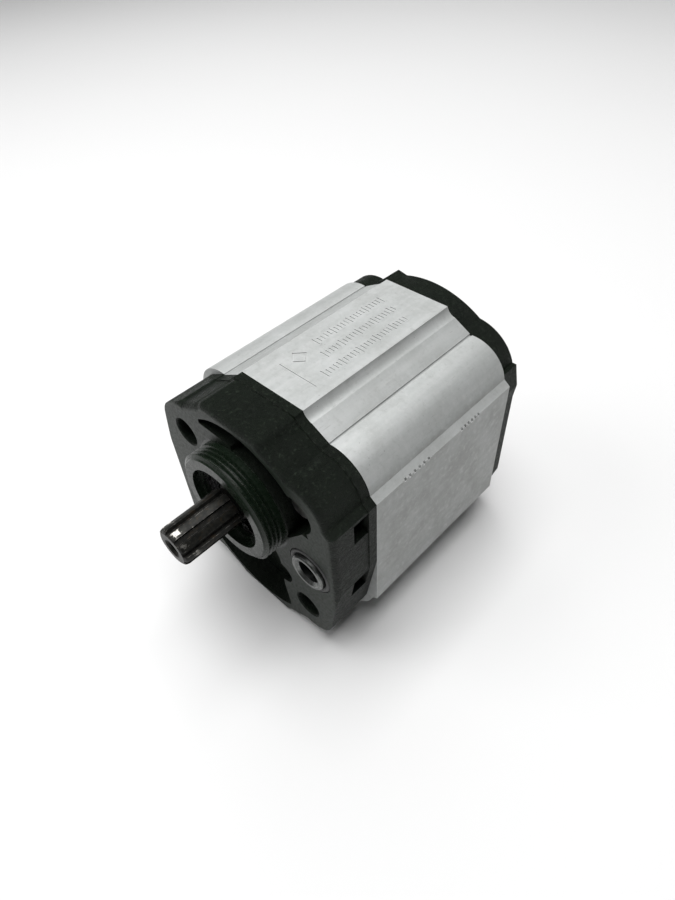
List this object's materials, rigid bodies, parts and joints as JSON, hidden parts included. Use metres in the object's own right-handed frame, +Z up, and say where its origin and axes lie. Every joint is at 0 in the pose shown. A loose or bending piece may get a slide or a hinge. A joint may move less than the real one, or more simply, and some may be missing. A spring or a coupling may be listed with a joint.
{
  "type": "hydraulic gear pump",
  "caption": "External gear pump with a black front cover, a threaded spigot round a splined drive shaft, an extruded aluminium body and a rear cover, with two meshed gears inside.",
  "frame": {"origin": "centre of the front mounting face, on the drive shaft's axis", "axes": "-Y out along the drive shaft, +Y along the pump to its rear cover, +Z up from the driven gear to the drive gear, +X to the plain side with the outlet"},
  "size_m": [0.0736, 0.116, 0.0816],
  "materials": {
    "cover_iron": "black painted cast iron with machined faces",
    "body_aluminium": "satin extruded aluminium",
    "gear_steel": "ground and hardened steel",
    "block_aluminium": "machined aluminium",
    "bush_bronze": "sintered bronze",
    "seal_rubber": "nitrile rubber",
    "backup_plastic": "pale plastic",
    "seal_steel": "pressed steel",
    "spring_steel": "blackened spring steel",
    "screw_steel": "blackened steel",
    "sleeve_steel": "turned steel"
  },
  "bodies": {
    "housing": {"front_cover": "cover_iron", "rear_cover": "cover_iron", "pump_body": "body_aluminium", "front_bearing_block": "block_aluminium", "rear_bearing_block": "block_aluminium", "drive_front_bush": "bush_bronze", "drive_rear_bush": "bush_bronze", "driven_front_bush": "bush_bronze", "driven_rear_bush": "bush_bronze", "front_pressure_seal": "seal_rubber", "rear_pressure_seal": "seal_rubber", "front_backup_ring": "backup_plastic", "rear_backup_ring": "backup_plastic", "front_body_seal": "seal_rubber", "rear_body_seal": "seal_rubber", "passage_seal": "seal_rubber", "shaft_seal_case": "seal_steel", "shaft_seal_lip": "seal_rubber", "seal_garter_spring": "seal_steel", "seal_washer": "seal_steel", "seal_circlip": "spring_steel", "assembly_screws": "screw_steel", "screw_washers": "screw_steel", "front_dowel_pins": "seal_steel", "rear_dowel_pins": "seal_steel", "outlet_sleeve": "sleeve_steel", "outlet_o_ring": "seal_rubber"},
    "drive_gear": {"drive_gear_shaft": "gear_steel"},
    "driven_gear": {"driven_gear_shaft": "gear_steel"}
  },
  "joints": [
    {"name": "drive_spin", "type": "hinge", "parent": "housing", "child": "drive_gear", "pos_m": [0, 0, 0], "axis": [0, 1, 0], "continuous": true},
    {"name": "driven_spin", "type": "hinge", "parent": "housing", "child": "driven_gear", "pos_m": [0, 0, -0.024], "axis": [0, 1, 0], "continuous": true}
  ],
  "couplings": [
    {"joint": "driven_spin", "follows": "drive_spin", "ratio": -1}
  ]
}
